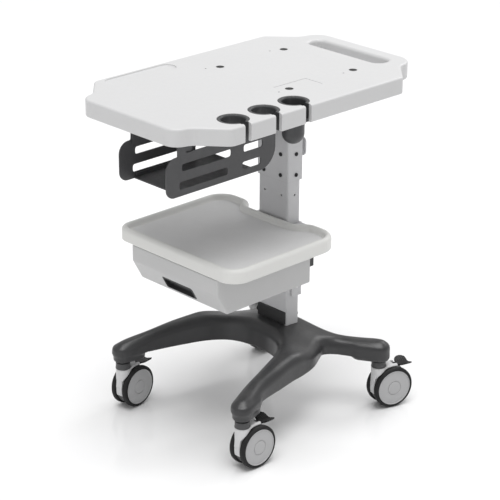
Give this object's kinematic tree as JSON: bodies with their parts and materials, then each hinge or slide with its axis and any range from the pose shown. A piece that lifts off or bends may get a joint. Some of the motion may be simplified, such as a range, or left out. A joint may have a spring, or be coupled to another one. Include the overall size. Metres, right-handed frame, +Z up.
{
  "type": "ultrasound machine trolley",
  "caption": "Mobile trolley for a portable ultrasound unit: flat top with rear push rail and probe cups, basket, tray with drawer, column, cast base on braked twin-wheel casters.",
  "frame": {"origin": "on the floor under the middle of the table top", "axes": "+X to the trolley's right (the side with the probe cups), +Y to its rear (the push rail), +Z up; the drawer opens along -Y"},
  "size_m": [0.4912, 0.724, 0.8065],
  "materials": {
    "table_plastic": "fine-grained off-white moulded plastic",
    "cup_plastic": "dark grey moulded plastic",
    "basket_paint": "dark grey powder coat",
    "column_paint": "light grey powder coat",
    "black_steel": "black oxide or paint",
    "zinc_steel": "bright zinc plate",
    "pale_plastic": "pale grey plastic",
    "base_paint": "dark grey textured powder coat on a casting",
    "black_plastic": "black plastic",
    "tray_plastic": "warm light grey plastic",
    "tray_mat": "mid grey ribbed liner",
    "drawer_plastic": "light grey plastic",
    "handle_plastic": "dark grey plastic",
    "runner_steel": "dark steel",
    "caster_plastic": "light grey plastic",
    "collar_plastic": "dark grey plastic",
    "pedal_plastic": "black plastic",
    "hub_plastic": "mid grey plastic wheel centre",
    "tyre": "dark grey rubber tread"
  },
  "bodies": {
    "trolley": {"base_casting": "base_paint", "basket_floor": "basket_paint", "basket_hangers": "basket_paint", "basket_plate_left": "basket_paint", "basket_plate_right": "basket_paint", "cable_hook": "pale_plastic", "caster_collars": "collar_plastic", "caster_stems": "zinc_steel", "column_screws": "black_steel", "column_sleeve": "column_paint", "column_tube": "column_paint", "cup_holder_deep": "cup_plastic", "cup_liners": "cup_plastic", "drawer_runners": "runner_steel", "foot_bolts": "black_steel", "foot_cover": "black_plastic", "table_screws": "zinc_steel", "tabletop": "table_plastic", "top_plate": "black_steel", "tray": "tray_plastic", "tray_bracket": "column_paint", "tray_mat": "tray_mat", "tray_screws": "zinc_steel"},
    "drawer": {"drawer_front": "drawer_plastic", "drawer_body": "drawer_plastic", "drawer_handle": "handle_plastic", "drawer_bumpers": "black_plastic"},
    "caster_front_left": {"caster_front_left_housing": "caster_plastic", "caster_front_left_guard": "black_plastic", "caster_front_left_axle": "zinc_steel"},
    "brake_front_left": {"caster_front_left_pedal": "pedal_plastic"},
    "wheel_front_left_left": {"caster_front_left_tyre_left": "tyre", "caster_front_left_hub_left": "hub_plastic"},
    "wheel_front_left_right": {"caster_front_left_tyre_right": "tyre", "caster_front_left_hub_right": "hub_plastic"},
    "caster_front_right": {"caster_front_right_housing": "caster_plastic", "caster_front_right_guard": "black_plastic", "caster_front_right_axle": "zinc_steel"},
    "brake_front_right": {"caster_front_right_pedal": "pedal_plastic"},
    "wheel_front_right_left": {"caster_front_right_tyre_left": "tyre", "caster_front_right_hub_left": "hub_plastic"},
    "wheel_front_right_right": {"caster_front_right_tyre_right": "tyre", "caster_front_right_hub_right": "hub_plastic"},
    "caster_rear_left": {"caster_rear_left_housing": "caster_plastic", "caster_rear_left_guard": "black_plastic", "caster_rear_left_axle": "zinc_steel"},
    "brake_rear_left": {"caster_rear_left_pedal": "pedal_plastic"},
    "wheel_rear_left_left": {"caster_rear_left_tyre_left": "tyre", "caster_rear_left_hub_left": "hub_plastic"},
    "wheel_rear_left_right": {"caster_rear_left_tyre_right": "tyre", "caster_rear_left_hub_right": "hub_plastic"},
    "caster_rear_right": {"caster_rear_right_housing": "caster_plastic", "caster_rear_right_guard": "black_plastic", "caster_rear_right_axle": "zinc_steel"},
    "brake_rear_right": {"caster_rear_right_pedal": "pedal_plastic"},
    "wheel_rear_right_left": {"caster_rear_right_tyre_left": "tyre", "caster_rear_right_hub_left": "hub_plastic"},
    "wheel_rear_right_right": {"caster_rear_right_tyre_right": "tyre", "caster_rear_right_hub_right": "hub_plastic"}
  },
  "joints": [
    {"name": "drawer_slide", "type": "slide", "parent": "trolley", "child": "drawer", "axis": [0, -1, 0], "range_m": [0, 0.22]},
    {"name": "swivel_front_left", "type": "hinge", "parent": "trolley", "child": "caster_front_left", "pos_m": [-0.2012, -0.2196, 0.1], "axis": [0, 0, 1], "continuous": true},
    {"name": "spin_front_left_left", "type": "hinge", "parent": "caster_front_left", "child": "wheel_front_left_left", "pos_m": [-0.20526, -0.18877, 0.05], "axis": [0.9914, 0.1305, 0], "continuous": true},
    {"name": "spin_front_left_right", "type": "hinge", "parent": "caster_front_left", "child": "wheel_front_left_right", "pos_m": [-0.20526, -0.18877, 0.05], "axis": [0.9914, 0.1305, 0], "continuous": true},
    {"name": "brake_press_front_left", "type": "hinge", "parent": "caster_front_left", "child": "brake_front_left", "pos_m": [-0.20668, -0.17796, 0.097], "axis": [-0.9914, -0.1305, 0], "range_deg": [0, 12]},
    {"name": "swivel_front_right", "type": "hinge", "parent": "trolley", "child": "caster_front_right", "pos_m": [0.2012, -0.2196, 0.1], "axis": [0, 0, 1], "continuous": true},
    {"name": "spin_front_right_left", "type": "hinge", "parent": "caster_front_right", "child": "wheel_front_right_left", "pos_m": [0.20174, -0.18851, 0.05], "axis": [0.9998, -0.0175, 0], "continuous": true},
    {"name": "spin_front_right_right", "type": "hinge", "parent": "caster_front_right", "child": "wheel_front_right_right", "pos_m": [0.20174, -0.18851, 0.05], "axis": [0.9998, -0.0175, 0], "continuous": true},
    {"name": "brake_press_front_right", "type": "hinge", "parent": "caster_front_right", "child": "brake_front_right", "pos_m": [0.20193, -0.17761, 0.097], "axis": [-0.9998, 0.0175, 0], "range_deg": [0, 12]},
    {"name": "swivel_rear_left", "type": "hinge", "parent": "trolley", "child": "caster_rear_left", "pos_m": [-0.2012, 0.2192, 0.1], "axis": [0, 0, 1], "continuous": true},
    {"name": "spin_rear_left_left", "type": "hinge", "parent": "caster_rear_left", "child": "wheel_rear_left_left", "pos_m": [-0.20977, 0.2491, 0.05], "axis": [0.9613, 0.2756, 0], "continuous": true},
    {"name": "spin_rear_left_right", "type": "hinge", "parent": "caster_rear_left", "child": "wheel_rear_left_right", "pos_m": [-0.20977, 0.2491, 0.05], "axis": [0.9613, 0.2756, 0], "continuous": true},
    {"name": "brake_press_rear_left", "type": "hinge", "parent": "caster_rear_left", "child": "brake_rear_left", "pos_m": [-0.21278, 0.25957, 0.097], "axis": [-0.9613, -0.2756, 0], "range_deg": [0, 12]},
    {"name": "swivel_rear_right", "type": "hinge", "parent": "trolley", "child": "caster_rear_right", "pos_m": [0.2012, 0.2192, 0.1], "axis": [0, 0, 1], "continuous": true},
    {"name": "spin_rear_right_left", "type": "hinge", "parent": "caster_rear_right", "child": "wheel_rear_right_left", "pos_m": [0.20977, 0.2491, 0.05], "axis": [0.9613, -0.2756, 0], "continuous": true},
    {"name": "spin_rear_right_right", "type": "hinge", "parent": "caster_rear_right", "child": "wheel_rear_right_right", "pos_m": [0.20977, 0.2491, 0.05], "axis": [0.9613, -0.2756, 0], "continuous": true},
    {"name": "brake_press_rear_right", "type": "hinge", "parent": "caster_rear_right", "child": "brake_rear_right", "pos_m": [0.21278, 0.25957, 0.097], "axis": [-0.9613, 0.2756, 0], "range_deg": [0, 12]}
  ]
}
